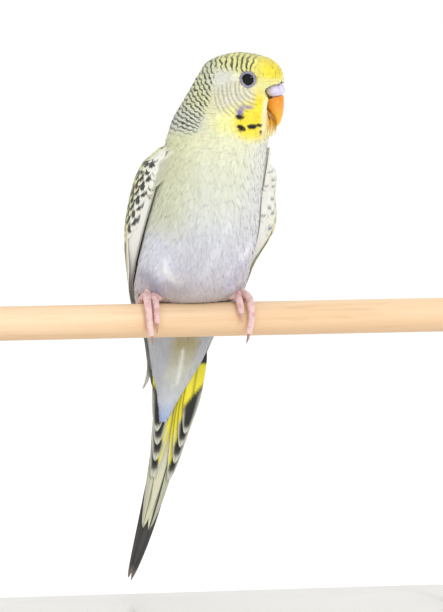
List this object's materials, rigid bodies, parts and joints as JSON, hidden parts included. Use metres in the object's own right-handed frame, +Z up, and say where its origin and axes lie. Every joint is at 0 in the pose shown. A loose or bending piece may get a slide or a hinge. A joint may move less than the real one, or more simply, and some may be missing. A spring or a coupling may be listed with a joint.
{
  "type": "budgerigar model",
  "caption": "Life-size budgerigar perched on a short dowel, head turned to its left, tail hanging, held by a plain display stand with a flat base.",
  "frame": {"origin": "centre of the stand's underside, on the floor", "axes": "+Z up from the base to the bird's crown; the perch runs along X; the bird faces -Y with its head turned towards +X"},
  "size_m": [0.19, 0.096, 0.205],
  "materials": {
    "body_plumage": "matt feathers, pale yellow-green fading to violet grey",
    "neck_plumage": "matt feathers, pale yellow with fine dark bars",
    "head_plumage": "matt feathers, yellow face with fine dark bars behind",
    "wing_plumage": "matt feathers, cream with dark crescents",
    "tail_plumage": "matt feathers, grey, yellow and black",
    "leg_skin": "pink scaled skin",
    "eye": "glossy black",
    "cere_skin": "smooth pale lavender skin",
    "bill_horn": "smooth orange horn",
    "lower_bill_horn": "brownish horn",
    "claw_horn": "pinkish tan horn",
    "perch_wood": "sanded pale softwood dowel",
    "base_lacquer": "off-white satin lacquer on board",
    "rod_steel": "brushed steel"
  },
  "bodies": {
    "root": {"bill_lower": "lower_bill_horn", "bill_upper": "bill_horn", "cere": "cere_skin", "claw_left_inner_back": "claw_horn", "claw_left_inner_front": "claw_horn", "claw_left_outer_back": "claw_horn", "claw_left_outer_front": "claw_horn", "claw_right_inner_back": "claw_horn", "claw_right_inner_front": "claw_horn", "claw_right_outer_back": "claw_horn", "claw_right_outer_front": "claw_horn", "eye_left": "eye", "eye_right": "eye", "head": "head_plumage", "leg_left": "leg_skin", "leg_right": "leg_skin", "neck": "neck_plumage", "perch": "perch_wood", "stand_base": "base_lacquer", "stand_rod_left": "rod_steel", "stand_rod_right": "rod_steel", "tail": "tail_plumage", "torso": "body_plumage", "wing_left": "wing_plumage", "wing_right": "wing_plumage"}
  },
  "joints": []
}
